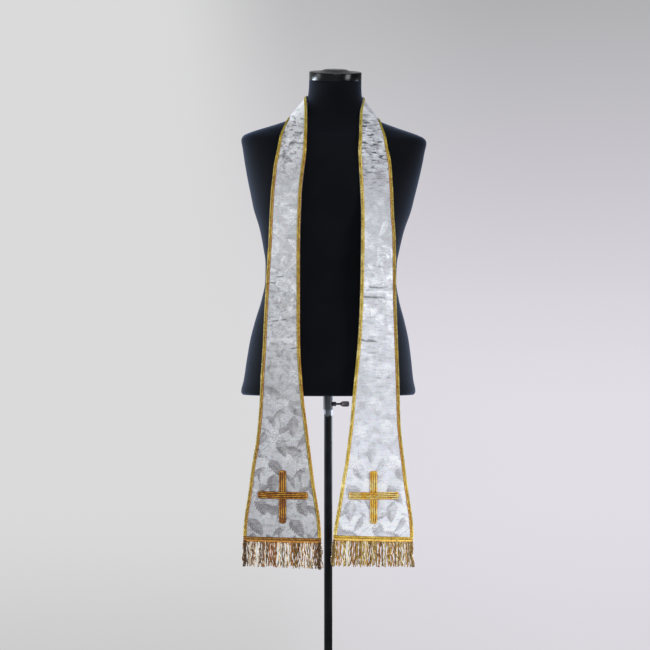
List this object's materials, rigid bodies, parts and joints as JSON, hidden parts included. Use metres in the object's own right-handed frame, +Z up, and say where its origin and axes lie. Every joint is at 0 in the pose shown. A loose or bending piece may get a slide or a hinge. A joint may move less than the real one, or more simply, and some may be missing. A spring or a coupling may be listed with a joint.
{
  "type": "clerical stole on dress form stand",
  "caption": "Brocade clerical stole with gold braid edges, applied crosses and fringed ends, hung round the neck of a black limbless dress form on a round pole stand.",
  "frame": {"origin": "on the floor, on the pole's axis, at the centre of the base plate's underside", "axes": "+Z up along the pole, -Y towards the form's front, +X to the right of a viewer who faces the form's front"},
  "size_m": [0.4265, 0.34, 1.562],
  "materials": {
    "brocade": "satin",
    "edge_braid": "satin",
    "hem_braid": "satin",
    "cross_gold": "satin",
    "fringe": "satin",
    "form_jersey": "matte",
    "cap_gloss": "gloss",
    "stand_paint": "satin",
    "clamp_metal": "satin"
  },
  "bodies": {
    "base": {"base_plate": "stand_paint", "base_socket": "stand_paint"},
    "pole": {"pole": "stand_paint"},
    "form": {"torso": "form_jersey", "neck_cap": "cap_gloss", "pole_tube": "clamp_metal", "stole_panel_left": "brocade", "stole_panel_right": "brocade", "inner_braid_left": "edge_braid", "inner_braid_right": "edge_braid", "outer_braid_left": "edge_braid", "outer_braid_right": "edge_braid", "hem_braid_left": "hem_braid", "hem_braid_right": "hem_braid", "fringe_left": "fringe", "fringe_right": "fringe", "cross_upright_left": "cross_gold", "cross_upright_right": "cross_gold", "cross_bar_left": "cross_gold", "cross_bar_right": "cross_gold"},
    "clamp_screw": {"clamp_screw": "clamp_metal"}
  },
  "joints": [
    {"name": "form_turn", "type": "hinge", "parent": "base", "child": "pole", "pos_m": [0, 0, 0.0083], "axis": [0, 0, 1], "continuous": true},
    {"name": "form_height", "type": "slide", "parent": "pole", "child": "form", "axis": [0, 0, 1], "range_m": [-0.25, 0.07]},
    {"name": "screw_turn", "type": "hinge", "parent": "form", "child": "clamp_screw", "pos_m": [0.0098, 0, 0.789], "axis": [1, 0, 0], "continuous": true}
  ]
}
